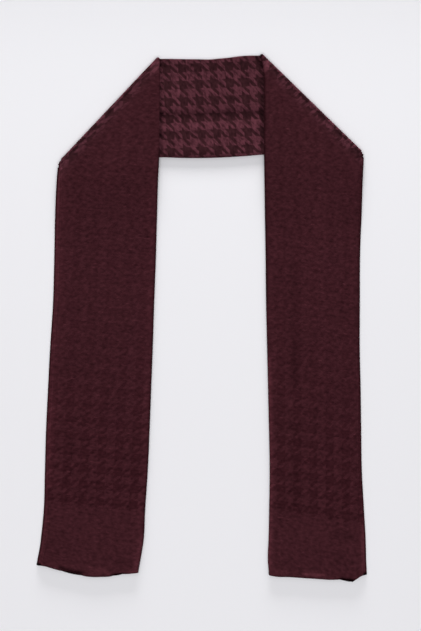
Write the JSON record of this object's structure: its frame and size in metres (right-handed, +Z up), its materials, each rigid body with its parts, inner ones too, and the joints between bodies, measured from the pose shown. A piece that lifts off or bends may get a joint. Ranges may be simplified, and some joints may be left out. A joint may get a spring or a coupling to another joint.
{
  "type": "rectangular shawl",
  "caption": "Rectangular jacquard shawl folded lengthwise into a strip and laid flat, turned by two diagonal folds into a neck stretch and two long fronts.",
  "frame": {"origin": "on the ground under the middle of the laid shawl", "axes": "+Z up off the ground, +Y from the ends of the fronts to the neck stretch, +X across the layout"},
  "size_m": [0.5788, 0.924, 0.0104],
  "materials": {
    "jacquard_front": "burgundy houndstooth jacquard, seen along the weave, soft low sheen",
    "jacquard_neck": "the same jacquard seen across the weave, where the teeth catch more light",
    "jacquard_layers": "the hidden layers of the same cloth",
    "hem": "narrow turned hem of the same cloth"
  },
  "bodies": {
    "root": {"left_front": "jacquard_front", "right_front": "jacquard_front", "neck": "jacquard_neck", "left_front_layers": "jacquard_layers", "right_front_layers": "jacquard_layers", "neck_layers": "jacquard_layers", "left_side_hem": "hem", "right_side_hem": "hem", "left_end_hem": "hem", "right_end_hem": "hem"}
  },
  "joints": []
}
